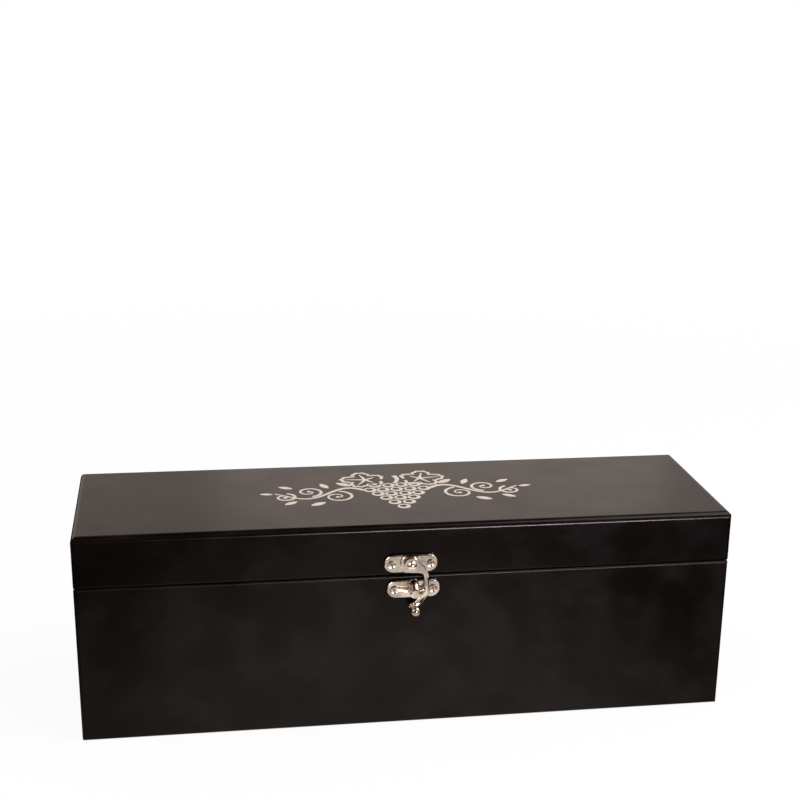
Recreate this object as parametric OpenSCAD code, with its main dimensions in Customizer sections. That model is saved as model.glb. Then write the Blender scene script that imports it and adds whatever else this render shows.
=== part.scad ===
// Single-bottle wine box: lacquered boards mitred at the corners, a lid on two
// butt hinges let into the rims, a horn clasp at the front, a velvet lining and
// two rests that carry the bottle. Millimetres, +Z up. The origin is the middle
// of the underside, X runs along the front and the front faces -Y.

/* [Box] */
// Outside length of the box, left to right
box_length = 355; // [345:1:420]
// Outside depth of the box, front to back
box_depth = 110; // [106:1:160]
// Height of the case, from the table to its rim
case_height = 87; // [80:0.5:120]
// Height of the lid, from its rim to its top
lid_height = 28.2; // [26:0.1:45]
// Air between the two rims when the lid is shut
seam_gap = 0.3; // [0.2:0.05:0.5]
// Thickness of the side boards
wall = 10; // [9.5:0.5:12]
// Thickness of the bottom board
bottom_board = 6; // [4:0.5:9]
// Thickness of the top board
top_board = 8; // [6:0.5:10]
// How far the bottom board is let into the side boards
rebate = 5; // [3:0.5:6]

/* [Edges] */
// Radius of the round along the lid's top edges
top_round = 3.3; // [2:0.1:5]
// Radius of the upright corners
corner_round = 2; // [0.8:0.1:2.2]
// Radius of the rounds along the seam, at the front and the ends
seam_round = 1.2; // [0.8:0.1:1.8]
// How far the bevel along the back of each rim goes in
rim_bevel = 1.5; // [1.5:0.1:2]
// Slope of the rim bevels; two of them meet and stop the lid
bevel_angle = 50; // [46:1:54]
// Chamfer along the bottom edges
foot_chamfer = 0.6; // [0.3:0.1:1.2]

/* [Lining] */
// Thickness of the velvet-covered lining boards
liner = 1.5; // [1:0.1:2.5]
// How far the lining stops short of each rim
liner_setback = 2; // [1:0.5:5]

/* [Bottle rests] */
// Diameter of the bottle's body
bottle_d = 76; // [70:0.5:78]
// Diameter of the bottle's neck
neck_d = 29.5; // [27:0.5:33]
// Air round the bottle in its rests
bottle_clearance = 0.5; // [0.3:0.1:1.5]
// Thickness of the body rest under the bottle
bottle_lift = 6; // [4:0.5:9]
// Distance of the body rest's middle from the left end of the box
body_rest_inset = 87.5; // [67.5:0.5:117.5]
// Length of the body rest along the box
body_rest_length = 40; // [20:1:60]
// Height of the body rest
body_rest_height = 30; // [20:1:34]
// Distance of the neck rest's middle from the right end of the box
neck_rest_inset = 57.5; // [42.5:0.5:77.5]
// Length of the neck rest along the box
neck_rest_length = 20; // [12:1:30]
// Height of the neck rest
neck_rest_height = 52; // [46:1:60]
// Cut-off corners of the neck rest
neck_rest_corner = 12; // [4:1:16]
// Side clearance of the rests in the lining
rest_fit = 0.5; // [0.3:0.1:1]

/* [Hinges] */
// Distance of a hinge's middle from the nearer end of the box
hinge_inset = 62.5; // [40:0.5:90]
// Length of a hinge along the back
hinge_length = 30; // [25:1:40]
// Number of knuckles in a hinge
knuckles = 5; // [3:2:7]
// Diameter of the hinge barrel
barrel_d = 4.4; // [4:0.1:4.8]
// Diameter of the hinge pin
hinge_pin_d = 2; // [1.6:0.1:2.4]
// Radial running clearance of the hinge pin
pin_fit = 0.04; // [0.02:0.01:0.08]
// End clearance between two knuckles
knuckle_gap = 0.2; // [0.1:0.05:0.4]
// Thickness of a hinge leaf
leaf_thickness = 1.1; // [0.8:0.1:1.3]
// How far a leaf reaches in from the barrel's axis
leaf_reach = 7.4; // [7:0.1:7.8]
// Air round the barrel in the boards
barrel_relief = 0.3; // [0.2:0.05:0.5]
// Distance of a leaf's two screws from each other
hinge_screw_spacing = 18; // [14:1:20]
// Distance of a leaf's screws from the barrel's axis
hinge_screw_inset = 4.9; // [4.6:0.1:5.1]
// Head diameter of the hinge screws
hinge_head_d = 3.2; // [2.8:0.1:3.6]
// Shank diameter of the hinge screws
hinge_shank_d = 1.6; // [1.2:0.1:2]
// Length of the hinge screws
hinge_screw_length = 9; // [6:0.5:12]

/* [Clasp plates] */
// Width of each clasp plate
plate_width = 28.6; // [27:0.2:32]
// Height of each clasp plate
plate_height = 9.9; // [9:0.1:10.4]
// Thickness of each clasp plate
plate_thickness = 2.2; // [1.6:0.1:2.4]
// Bevel round the face of each clasp plate
plate_bevel = 0.3; // [0.3:0.1:0.8]
// Place of the arm plate's middle along the front
arm_plate_x = -1; // [-5:0.5:5]
// Place of the catch plate's middle along the front
catch_plate_x = 0.5; // [-1:0.5:2]
// Height of the arm plate's middle above the case's rim
arm_plate_rise = 7.5; // [7.3:0.1:8]
// Drop of the catch plate's middle below the case's rim
catch_plate_drop = 7; // [6.9:0.1:7.6]
// Distance between the two screws of a clasp plate
clasp_screw_spacing = 21; // [20.4:0.1:22]
// Head diameter of the clasp screws
clasp_head_d = 3.7; // [3.4:0.1:4.2]
// Shank diameter of the clasp screws
clasp_shank_d = 2; // [1.6:0.1:2.4]
// How far the heads of the clasp screws lie under the plate's face
head_sink = 0.5; // [0:0.1:0.6]
// Length of the clasp screws under the plate's face
clasp_screw_length = 8.5; // [6:0.5:10]
// Radius of the raised seat under the arm's eye
seat_r = 5.9; // [5.4:0.1:6.6]
// Height of that seat above the plate's face
seat_rise = 1.2; // [1.2:0.1:1.6]

/* [Clasp arm] */
// Radius of the arm's eye
eye_r = 4; // [3.8:0.1:4.4]
// Thickness of the arm's eye
eye_thickness = 2; // [1.6:0.1:2.4]
// Air between the arm and what it turns on
arm_air = 0.1; // [0.1:0.05:0.2]
// Diameter of the rivet that the arm turns on
rivet_d = 3.2; // [2.8:0.1:3.6]
// Diameter of the rivet's domed head
rivet_head_d = 5.2; // [4.4:0.1:5.6]
// Height of the rivet's domed head
rivet_head_rise = 1.5; // [1:0.1:2]
// Radial running clearance of the rivet in the arm
rivet_fit = 0.04; // [0.02:0.01:0.08]
// How far the arm's shank stands to the right of the rivet
shank_x = 8.1; // [7.8:0.1:8.4]
// Drop of the knob's foot below the horn
knob_drop = 8.2; // [7.6:0.1:9]
// Width of the arm's shank
shank_width = 2.4; // [2:0.1:2.6]
// Radius of the horn's round section
horn_r = 0.85; // [0.7:0.05:0.9]
// Radius of the round knob at the arm's end
knob_r = 2.9; // [2.4:0.05:3]
// Height of the knob's middle above the middle of the shank
knob_rise = 2.9; // [2.6:0.1:3.6]

/* [Catch] */
// Radius of the claw's head
claw_head_r = 2.9; // [2.6:0.05:3]
// How far the claw stands out from its plate
claw_reach = 7.2; // [6.8:0.1:8]
// Thickness of the claw's head
claw_head_thickness = 2.6; // [2.4:0.1:3]
// Width of the claw's neck
claw_neck_width = 4.4; // [2.6:0.1:5]
// Air between the arm's horn and the claw's neck
horn_air = 0.4; // [0.3:0.05:0.6]
// Drop of the horn's lowest point below the middle of the catch plate
horn_drop = 0.5; // [0.3:0.1:0.8]
// Radius that the horn is bent to
horn_bend = 25; // [20:1:40]

/* [Hidden] */
$fn = 48;

lacquer = [0.09, 0.08, 0.075];
velvet = [0.16, 0.03, 0.05];
nickel = [0.78, 0.74, 0.68];
steel = [0.66, 0.66, 0.68];

rim = case_height;
lid_rim = case_height + seam_gap;
top = lid_rim + lid_height;
bevel_height = rim_bevel * tan(bevel_angle);
inner_length = box_length - 2 * wall;
inner_depth = box_depth - 2 * wall;
floor_top = bottom_board + liner;
ceiling = top - top_board;
bottle_axis = floor_top + bottle_lift + bottle_d / 2;
hinge_y = box_depth / 2 - rim_bevel;
hinge_z = rim + seam_gap / 2;
barrel_r = barrel_d / 2;
knuckle_pitch = hinge_length / knuckles;
left_end = -box_length / 2;
right_end = box_length / 2;
body_rest_x = left_end + body_rest_inset;
neck_rest_x = right_end - neck_rest_inset;
screw_fit = 0.05; // air round a screw's shank and head
pocket_fit = 0.15; // air round a hinge leaf in its pocket
past = 1; // how far a cut runs past what it cuts
slice = 0.1; // thickness of the discs that a hull is drawn over

pivot = [arm_plate_x, rim + arm_plate_rise];
catch = [catch_plate_x, rim - catch_plate_drop];
arm_back = plate_thickness + seat_rise + arm_air;
arm_mid = arm_back + eye_thickness / 2;
horn_y = catch[1] - pivot[1] - horn_drop; // the horn's lowest point, seen from the pivot
horn_tip_angle = 19; // from that point to the horn's tip
horn_root_angle = asin((shank_x - horn_r) / horn_bend); // and to its root in the shank
horn_bead = 0.18 * horn_r; // how much thicker the tip is
shank_half = shank_width / 2;
shank_root = [shank_x - 0.3 * shank_half, -1.65 * eye_r]; // where the shank leaves the eye's plate
neck_floor = horn_r + horn_air - horn_drop; // lowest point of the claw's neck
neck_sink = plate_thickness / 4; // how far the claw's neck runs into its plate
neck_fillet = claw_neck_width / 7; // cone round the foot of the neck
head_y = -0.07 * claw_head_r; // middle of the claw's head
claw_face_round = 0.31 * claw_head_r; // round of the claw's face
claw_head_taper = 0.17 * claw_head_r; // how much smaller the head is behind
knob_foot = [0.06 * shank_x, horn_y - knob_drop, arm_mid]; // where the knob's axis leaves the tail
knob_lean = [0.48, -0.79, 1] * knob_rise; // from there to the knob's middle
knob_bead_r = 0.76 * knob_r; // bead at the knob's foot
knob_bead_round = 0.32 * knob_bead_r; // round of that bead

// Outline of the eye's plate, in eye radii from the rivet and in shank halves from the shank's root:
// down the right side to the shank, a tongue that runs on into it, and back up the left side
eye_right = [[0.5, 0.82], [0.74, 0.58], [1.2, 0], [1.675, -0.5]];
shank_right = [[0.8, 1.6], [1, 0]];
eye_tongue = [[0.25, -2.8], [-0.1, -2.8]];
shank_left = [[-1, 0], [-1.25, 1.1], [-2, 1.6]];
eye_left = [[0.9, -1.05], [0, -1.025]];

// Middle line of the arm's tail: [x in shank_x, y in knob_drop above the horn, half width and
// half thickness in shank halves, groove along its front]
tail_line = [
    [1, 0.66, 1, 1, 0],
    [1, 0.27, 1.04, 1.08, 0],
    [0.93, -0.09, 1.12, 1.08, 0.15],
    [0.78, -0.4, 1.37, 1.08, 0.7],
    [0.54, -0.73, 1.5, 1.08, 0.85],
    [0.27, -0.99, 1.37, 1, 0.4]
];
// The same line in millimetres, with the shank's root before it
arm_line = concat(
    [
        [shank_root[0] - 0.4 * shank_half, shank_root[1] + 1.8 * shank_half, 0.8 * shank_half, 0.67 * shank_half, 0],
        [shank_root[0], shank_root[1], shank_half, 0.88 * shank_half, 0]
    ],
    [for (t = tail_line) [t[0] * shank_x, horn_y + t[1] * knob_drop, t[2] * shank_half, t[3] * shank_half, t[4]]]
);

// Cross recess and point of every screw
cross_width = 0.13; // of the head's diameter
cross_length = 1.2; // of the head's radius
cross_depth = 0.45; // of the head's radius
cross_turn = 20;
dome_share = 0.6; // radius of a head's flat top
point_share = 0.2; // radius of a screw's point
hinge_head_rise = 0.01;
clasp_head_rise = 0.35;

tail_r = 0.72 * rivet_d; // clenched end of the rivet
tail_thickness = 0.19 * rivet_d;
rivet_seat_fit = 0.04; // diametral, where the rivet is fixed in the plate
seat_bevel = 0.35;
seat_top = plate_thickness + seat_rise;

// ---- boards ----

module rounded_rectangle(length, depth, r) {
    square([length - 2 * r, depth], center = true);
    square([length, depth - 2 * r], center = true);
    for (x = [-1, 1], y = [-1, 1])
        translate([x * (length / 2 - r), y * (depth / 2 - r)]) circle(r);
}

// Rounds at both ends of a cross-section, or at its front end where its back is
// bevelled for the hinges
module profile_rounds(half, middle, r, hinged) {
    for (side = hinged ? [-1] : [-1, 1]) translate([side * (half - r), middle]) circle(r);
}

// Cross-section of the case, rounded or bevelled at the rim and chamfered at the foot
module case_profile(width, hinged) {
    half = width / 2;
    back_in = hinged ? rim_bevel : seam_round;
    back_drop = hinged ? bevel_height : seam_round;
    polygon([
        [-half + foot_chamfer, 0], [half - foot_chamfer, 0], [half, foot_chamfer],
        [half, rim - back_drop], [half - back_in, rim],
        [-half + seam_round, rim], [-half, rim - seam_round], [-half, foot_chamfer]
    ]);
    profile_rounds(half, rim - seam_round, seam_round, hinged);
}

// Cross-section of the lid, rounded or bevelled at the rim and rounded at the top
module lid_profile(width, hinged) {
    half = width / 2;
    back_in = hinged ? rim_bevel : seam_round;
    back_rise = hinged ? bevel_height : seam_round;
    polygon([
        [-half + seam_round, lid_rim], [half - back_in, lid_rim],
        [half, lid_rim + back_rise], [half, top - top_round],
        [half - top_round, top - top_round], [half - top_round, top],
        [-half + top_round, top], [-half + top_round, top - top_round],
        [-half, top - top_round], [-half, lid_rim + seam_round]
    ]);
    profile_rounds(half, lid_rim + seam_round, seam_round, hinged);
    profile_rounds(half, top - top_round, top_round, false);
}

module along_x(length) {
    rotate([90, 0, 90]) linear_extrude(length, center = true) children();
}

module along_y(length) {
    rotate([90, 0, 0]) linear_extrude(length, center = true) children();
}

module case_envelope() {
    intersection() {
        linear_extrude(rim) rounded_rectangle(box_length, box_depth, corner_round);
        along_x(box_length) case_profile(box_depth, true);
        along_y(box_depth) case_profile(box_length, false);
    }
}

module lid_envelope() {
    intersection() {
        translate([0, 0, lid_rim])
            linear_extrude(lid_height) rounded_rectangle(box_length, box_depth, corner_round);
        along_x(box_length) lid_profile(box_depth, true);
        along_y(box_depth) lid_profile(box_length, false);
    }
}

// Plan of one side's share of the mitred frame: 0 front, 1 right, 2 back, 3 left
module mitre(side) {
    half_l = box_length / 2;
    half_d = box_depth / 2;
    ridge = half_l - half_d;
    outlines = [
        [[-half_l, -half_d], [half_l, -half_d], [ridge, 0], [-ridge, 0]],
        [[half_l, -half_d], [half_l, half_d], [ridge, 0]],
        [[half_l, half_d], [-half_l, half_d], [-ridge, 0], [ridge, 0]],
        [[-half_l, half_d], [-half_l, -half_d], [-ridge, 0]]
    ];
    linear_extrude(top) polygon(outlines[side]);
}

module case_board(side) {
    difference() {
        intersection() {
            case_envelope();
            mitre(side);
        }
        translate([0, 0, rim / 2])
            cube([inner_length, inner_depth, rim + past], center = true);
        translate([0, 0, bottom_board / 2 - past / 2])
            cube([inner_length + 2 * rebate, inner_depth + 2 * rebate, bottom_board + past], center = true);
    }
}

module lid_board(side) {
    difference() {
        intersection() {
            lid_envelope();
            mitre(side);
        }
        translate([0, 0, ceiling / 2])
            cube([inner_length, inner_depth, ceiling + past], center = true);
        translate([0, 0, ceiling])
            linear_extrude(top_board + past) square([box_length + past, box_depth + past], center = true);
    }
}

module lid_top_board() {
    intersection() {
        lid_envelope();
        translate([0, 0, ceiling])
            linear_extrude(top_board) square([box_length, box_depth], center = true);
    }
}

module case_bottom_board() {
    linear_extrude(bottom_board)
        square([inner_length + 2 * rebate, inner_depth + 2 * rebate], center = true);
}

// ---- lining ----

module long_liner(side, low, high) {
    translate([-inner_length / 2, side * inner_depth / 2 - (side > 0 ? liner : 0), low])
        cube([inner_length, liner, high - low]);
}

module end_liner(side, low, high) {
    translate([side * inner_length / 2 - (side > 0 ? liner : 0), -inner_depth / 2 + liner, low])
        cube([liner, inner_depth - 2 * liner, high - low]);
}

module flat_liner(low) {
    translate([0, 0, low])
        linear_extrude(liner) square([inner_length, inner_depth], center = true);
}

// ---- bottle rests ----

rest_depth = inner_depth - 2 * liner - 2 * rest_fit;

module body_rest() {
    difference() {
        translate([body_rest_x, 0, floor_top])
            along_x(body_rest_length)
                translate([-rest_depth / 2, 0]) square([rest_depth, body_rest_height]);
        translate([body_rest_x, 0, bottle_axis]) rotate([0, 90, 0])
            cylinder(d = bottle_d + 2 * bottle_clearance, h = body_rest_length + 2 * past, center = true);
    }
}

module neck_rest() {
    half = rest_depth / 2;
    notch_d = neck_d + 2 * bottle_clearance;
    difference() {
        translate([neck_rest_x, 0, floor_top])
            along_x(neck_rest_length)
                polygon([
                    [-half, 0], [half, 0], [half, neck_rest_height - neck_rest_corner],
                    [half - neck_rest_corner, neck_rest_height],
                    [-half + neck_rest_corner, neck_rest_height],
                    [-half, neck_rest_height - neck_rest_corner]
                ]);
        translate([neck_rest_x, 0, bottle_axis]) rotate([0, 90, 0])
            cylinder(d = notch_d, h = neck_rest_length + 2 * past, center = true);
        translate([neck_rest_x, 0, bottle_axis + neck_rest_height / 2])
            cube([neck_rest_length + 2 * past, notch_d, neck_rest_height], center = true);
    }
}

// ---- screws ----

// Countersunk cross-head screw, its face at z = 0 and its point towards -Z
module screw(head_d, shank_d, length, dome) {
    head_r = head_d / 2;
    shank_r = shank_d / 2;
    cone = head_r - shank_r;
    difference() {
        union() {
            translate([0, 0, -cone]) cylinder(r1 = shank_r, r2 = head_r, h = cone);
            cylinder(r1 = head_r, r2 = head_r * dome_share, h = dome);
            translate([0, 0, -length + shank_r]) cylinder(r = shank_r, h = length - shank_r - cone);
            translate([0, 0, -length]) cylinder(r1 = shank_r * point_share, r2 = shank_r, h = shank_r);
        }
        for (turn = [0, 90])
            rotate([0, 0, turn + cross_turn])
                cube([head_r * cross_length, head_d * cross_width, 2 * head_r * cross_depth], center = true);
    }
}

// What a screw takes out of the plate and board under it, the head `sunk` under the face
module screw_hole(head_d, shank_d, length, sunk = 0) {
    head_r = head_d / 2 + screw_fit;
    shank_r = shank_d / 2 + screw_fit;
    cone = head_r - shank_r;
    translate([0, 0, -cone]) cylinder(r1 = shank_r, r2 = head_r + sunk + past, h = cone + sunk + past);
    translate([0, 0, -length - past / 4]) cylinder(r = shank_r, h = length + past / 4);
}

// ---- hinges ----

module at_hinge(side) {
    translate([side * (box_length / 2 - hinge_inset), hinge_y, hinge_z]) children();
}

// The leaf of the case, or of the lid when it is turned over
module hinge_leaf(lid) {
    flip = lid ? -1 : 1;
    face = -seam_gap / 2;
    difference() {
        union() {
            for (k = [0 : knuckles - 1])
                if (k % 2 == (lid ? 1 : 0))
                    translate([-hinge_length / 2 + k * knuckle_pitch + knuckle_gap / 2, 0, 0])
                        rotate([0, 90, 0]) cylinder(r = barrel_r, h = knuckle_pitch - knuckle_gap);
            difference() {
                translate([-hinge_length / 2, -leaf_reach, flip > 0 ? face - leaf_thickness : -face])
                    cube([hinge_length, leaf_reach, leaf_thickness]);
                for (k = [0 : knuckles - 1])
                    if (k % 2 == (lid ? 0 : 1))
                        translate([-hinge_length / 2 + k * knuckle_pitch - knuckle_gap / 2, 0, 0])
                            rotate([0, 90, 0])
                                cylinder(r = barrel_r + knuckle_gap, h = knuckle_pitch + knuckle_gap);
            }
        }
        rotate([0, 90, 0])
            cylinder(d = hinge_pin_d + 2 * pin_fit, h = hinge_length + 2 * past, center = true);
        for (x = [-1, 1])
            translate([x * hinge_screw_spacing / 2, -hinge_screw_inset, flip * face])
                rotate([lid ? 180 : 0, 0, 0])
                    screw_hole(hinge_head_d, hinge_shank_d, hinge_screw_length);
    }
}

module hinge_pin() {
    rotate([0, 90, 0]) cylinder(d = hinge_pin_d, h = hinge_length, center = true);
}

module hinge_screws(lid) {
    for (x = [-1, 1])
        translate([x * hinge_screw_spacing / 2, -hinge_screw_inset, (lid ? 1 : -1) * seam_gap / 2])
            rotate([lid ? 180 : 0, 0, 0])
                screw(hinge_head_d, hinge_shank_d, hinge_screw_length, hinge_head_rise);
}

// What one hinge takes out of a back board
module hinge_pocket(lid) {
    low = lid ? 0 : -seam_gap / 2 - leaf_thickness;
    rotate([0, 90, 0])
        cylinder(r = barrel_r + barrel_relief, h = hinge_length + 2 * pocket_fit, center = true);
    translate([-hinge_length / 2 - pocket_fit, -leaf_reach - pocket_fit, low])
        cube([hinge_length + 2 * pocket_fit, leaf_reach + pocket_fit, seam_gap / 2 + leaf_thickness]);
    for (x = [-1, 1])
        translate([x * hinge_screw_spacing / 2, -hinge_screw_inset, (lid ? 1 : -1) * seam_gap / 2])
            rotate([lid ? 180 : 0, 0, 0])
                screw_hole(hinge_head_d, hinge_shank_d, hinge_screw_length);
}

// ---- clasp ----

// Puts a part on the front: its x along the front, its y up, its z outwards
module on_front(place) {
    translate([place[0], -box_depth / 2, place[1]]) rotate([90, 0, 0]) children();
}

// Half of a clasp plate's cross-section, from its middle out to its bevelled edge
module plate_section() {
    r = plate_height / 2;
    polygon([
        [0, 0], [r, 0], [r, plate_thickness - plate_bevel],
        [r - plate_bevel, plate_thickness], [0, plate_thickness]
    ]);
}

// Round-ended plate with a bevel round its face
module clasp_plate_blank() {
    run = plate_width - plate_height;
    rotate([90, 0, 90]) linear_extrude(run, center = true) {
        plate_section();
        mirror([1, 0]) plate_section();
    }
    for (x = [-1, 1]) translate([x * run / 2, 0, 0]) rotate_extrude() plate_section();
}

module clasp_screw_places() {
    for (x = [-1, 1]) translate([x * clasp_screw_spacing / 2, 0, plate_thickness]) children();
}

module clasp_screws() {
    clasp_screw_places() translate([0, 0, -head_sink])
        screw(clasp_head_d, clasp_shank_d, clasp_screw_length - head_sink, clasp_head_rise);
}

module clasp_screw_holes() {
    clasp_screw_places() translate([0, 0, -head_sink])
        screw_hole(clasp_head_d, clasp_shank_d, clasp_screw_length - head_sink, head_sink);
}

module arm_plate() {
    difference() {
        union() {
            clasp_plate_blank();
            intersection() {
                rotate_extrude() polygon([
                    [0, 0], [seat_r, 0], [seat_r, seat_top - seat_bevel],
                    [seat_r - seat_bevel, seat_top], [0, seat_top]
                ]);
                linear_extrude(seat_top + past)
                    square([2 * seat_r + past, plate_height - 2 * plate_bevel], center = true);
            }
        }
        translate([0, 0, -past]) cylinder(d = rivet_d + rivet_seat_fit, h = seat_top + 2 * past);
        clasp_screw_holes();
    }
}

// Rivet with a domed head in front and a clenched tail behind the plate
module arm_rivet() {
    head_r = rivet_head_d / 2;
    base = arm_back + eye_thickness + arm_air;
    dome_r = (head_r * head_r + rivet_head_rise * rivet_head_rise) / (2 * rivet_head_rise);
    translate([0, 0, -tail_thickness]) cylinder(r = tail_r, h = tail_thickness);
    cylinder(d = rivet_d, h = base);
    intersection() {
        translate([0, 0, base]) cylinder(r = head_r, h = rivet_head_rise);
        translate([0, 0, base + rivet_head_rise - dome_r]) sphere(dome_r);
    }
}

// Space in the lid's front board for the rivet's tail
module tail_pocket() {
    translate([0, 0, -tail_thickness - screw_fit])
        cylinder(r = tail_r + screw_fit, h = tail_thickness + screw_fit + past);
}

// Smooth curve through the listed stations, `steps` rings to a span
function spline(a, b, c, d, t) =
    0.5 * (2 * b + (c - a) * t + (2 * a - 5 * b + 4 * c - d) * t * t + (3 * b - a - 3 * c + d) * t * t * t);

function smooth(list, steps) = [
    for (i = [0 : len(list) - 2], s = [0 : steps - 1])
        spline(list[max(i - 1, 0)], list[i], list[i + 1], list[min(i + 2, len(list) - 1)], s / steps),
    list[len(list) - 1]
];

// Bar of changing oval section along the arm's middle line
module tapered_bar(line, steps = 4, sides = 20) {
    rings = smooth(line, steps);
    last = len(rings) - 1;
    points = [
        for (i = [0 : last])
            let (
                run = rings[min(i + 1, last)] - rings[max(i - 1, 0)],
                along = [run[0], run[1]] / norm([run[0], run[1]]),
                at = rings[i]
            )
            for (k = [0 : sides - 1])
                let (
                    angle = k * 360 / sides,
                    groove = at[4] * pow(max(sin(angle), 0), 4),
                    across = at[2] * cos(angle),
                    out = at[3] * (sin(angle) - groove)
                )
                [at[0] + along[1] * across, at[1] - along[0] * across, arm_mid + out]
    ];
    faces = [
        [for (k = [sides - 1 : -1 : 0]) k],
        for (i = [0 : last - 1], k = [0 : sides - 1])
            let (a = i * sides + k, b = i * sides + (k + 1) % sides)
            each [[a, b, a + sides], [b, b + sides, a + sides]],
        [for (k = [0 : sides - 1]) last * sides + k]
    ];
    polyhedron(points, faces);
}

// Outline of the arm's eye, drawn out into the root of the shank
module eye_outline() {
    right_side = concat(
        [for (p = eye_right) p * eye_r],
        [for (p = shank_right) shank_root + p * shank_half]
    );
    left_side = concat(
        [for (p = shank_left) shank_root + p * shank_half],
        [for (p = eye_left) p * eye_r]
    );
    circle(eye_r);
    tongue = [for (p = eye_tongue) shank_root + p * shank_half];
    polygon(concat(smooth(right_side, 5), tongue, smooth(left_side, 4), [[0, 0]]));
}

// The horn: a bar bent to a flat arc whose lowest point lies under the claw's neck
module horn() {
    translate([0, horn_y + horn_bend, arm_mid]) {
        rotate([0, 0, -90 - horn_tip_angle])
            rotate_extrude(angle = horn_tip_angle + horn_root_angle, $fn = 128)
                translate([horn_bend, 0]) circle(horn_r);
        rotate([0, 0, -90 - horn_tip_angle]) translate([horn_bend, 0]) sphere(horn_r + horn_bead);
    }
}

// The knob is turned on a leaning axis: a bead where it leaves the shank, then a ball
module knob() {
    reach = norm(knob_lean);
    translate(knob_foot)
        rotate([0, acos(knob_rise / reach), atan2(knob_lean[1], knob_lean[0])])
            rotate_extrude() intersection() {
                union() {
                    translate([0, -knob_bead_round])
                        square([knob_bead_r - knob_bead_round, reach + knob_bead_round]);
                    translate([knob_bead_r - knob_bead_round, 0]) circle(knob_bead_round);
                    translate([0, reach]) circle(knob_r);
                }
                translate([0, -knob_bead_r]) square([knob_r, reach + knob_r + knob_bead_r]);
            }
}

// Cast arm: eye, shank, the horn that slips under the claw, and the finger lever
module clasp_arm() {
    difference() {
        union() {
            translate([0, 0, arm_back]) linear_extrude(eye_thickness) eye_outline();
            tapered_bar(arm_line);
            horn();
            knob();
        }
        translate([0, 0, arm_back - past]) cylinder(d = rivet_d + 2 * rivet_fit, h = eye_thickness + 2 * past);
    }
}

// Claw: a round neck over the horn, and a flared head that hangs down before it
module claw() {
    neck_r = claw_neck_width / 2;
    neck_y = neck_floor + neck_r;
    flare_back = arm_mid + horn_r + horn_air;
    out = plate_thickness + claw_reach;
    translate([0, neck_y, plate_thickness - neck_sink])
        cylinder(r = neck_r, h = flare_back - plate_thickness + neck_sink + slice);
    translate([0, neck_y, plate_thickness - slice])
        cylinder(r1 = neck_r + neck_fillet, r2 = neck_r, h = neck_fillet + slice);
    hull() {
        translate([0, neck_y, flare_back]) disc(neck_r, slice);
        translate([0, head_y, out - claw_head_thickness]) disc(claw_head_r - claw_head_taper, slice);
        translate([0, head_y, out - 2 * claw_face_round]) disc(claw_head_r, claw_face_round);
        translate([0, head_y, out - claw_face_round]) disc(claw_head_r * 0.95, claw_face_round / 2);
        translate([0, head_y, out - slice]) disc(claw_head_r - claw_face_round, slice);
    }
}

module disc(r, h) {
    cylinder(r = r, h = h, $fn = 32);
}

module catch_plate() {
    difference() {
        union() {
            clasp_plate_blank();
            claw();
        }
        clasp_screw_holes();
    }
}

// ---- boards with what is cut into them ----

module case_back_board() {
    difference() {
        case_board(2);
        for (side = [-1, 1]) at_hinge(side) hinge_pocket(false);
    }
}

module lid_back_board() {
    difference() {
        lid_board(2);
        for (side = [-1, 1]) at_hinge(side) hinge_pocket(true);
    }
}

module case_front_board() {
    difference() {
        case_board(0);
        on_front(catch) clasp_screw_holes();
    }
}

module lid_front_board() {
    difference() {
        lid_board(0);
        on_front(pivot) {
            clasp_screw_holes();
            tail_pocket();
        }
    }
}

liner_top = rim - liner_setback;
lid_liner_low = lid_rim + liner_setback;
lid_liner_top = ceiling - liner;

color(lacquer) case_front_board();
color(lacquer) case_back_board();
color(lacquer) case_board(3);  // case_left_board
color(lacquer) case_board(1);  // case_right_board
color(lacquer) case_bottom_board();
color(velvet) flat_liner(bottom_board);  // case_floor_liner
color(velvet) long_liner(-1, floor_top, liner_top);  // case_front_liner
color(velvet) long_liner(1, floor_top, liner_top);  // case_back_liner
color(velvet) end_liner(-1, floor_top, liner_top);  // case_left_liner
color(velvet) end_liner(1, floor_top, liner_top);  // case_right_liner
color(velvet) body_rest();
color(velvet) neck_rest();
color(nickel) at_hinge(-1) hinge_leaf(false);  // left_hinge_case_leaf
color(nickel) at_hinge(1) hinge_leaf(false);  // right_hinge_case_leaf
color(steel) at_hinge(-1) hinge_pin();  // left_hinge_pin
color(steel) at_hinge(1) hinge_pin();  // right_hinge_pin
color(steel) at_hinge(-1) hinge_screws(false);  // left_hinge_case_screws
color(steel) at_hinge(1) hinge_screws(false);  // right_hinge_case_screws
color(nickel) on_front(catch) catch_plate();
color(steel) on_front(catch) clasp_screws();  // catch_plate_screws
color(lacquer) lid_front_board();
color(lacquer) lid_back_board();
color(lacquer) lid_board(3);  // lid_left_board
color(lacquer) lid_board(1);  // lid_right_board
color(lacquer) lid_top_board();
color(velvet) flat_liner(lid_liner_top);  // lid_top_liner
color(velvet) long_liner(-1, lid_liner_low, lid_liner_top);  // lid_front_liner
color(velvet) long_liner(1, lid_liner_low, lid_liner_top);  // lid_back_liner
color(velvet) end_liner(-1, lid_liner_low, lid_liner_top);  // lid_left_liner
color(velvet) end_liner(1, lid_liner_low, lid_liner_top);  // lid_right_liner
color(nickel) at_hinge(-1) hinge_leaf(true);  // left_hinge_lid_leaf
color(nickel) at_hinge(1) hinge_leaf(true);  // right_hinge_lid_leaf
color(steel) at_hinge(-1) hinge_screws(true);  // left_hinge_lid_screws
color(steel) at_hinge(1) hinge_screws(true);  // right_hinge_lid_screws
color(nickel) on_front(pivot) arm_plate();
color(steel) on_front(pivot) clasp_screws();  // arm_plate_screws
color(nickel) on_front(pivot) arm_rivet();
color(nickel) on_front(pivot) clasp_arm();
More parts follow.
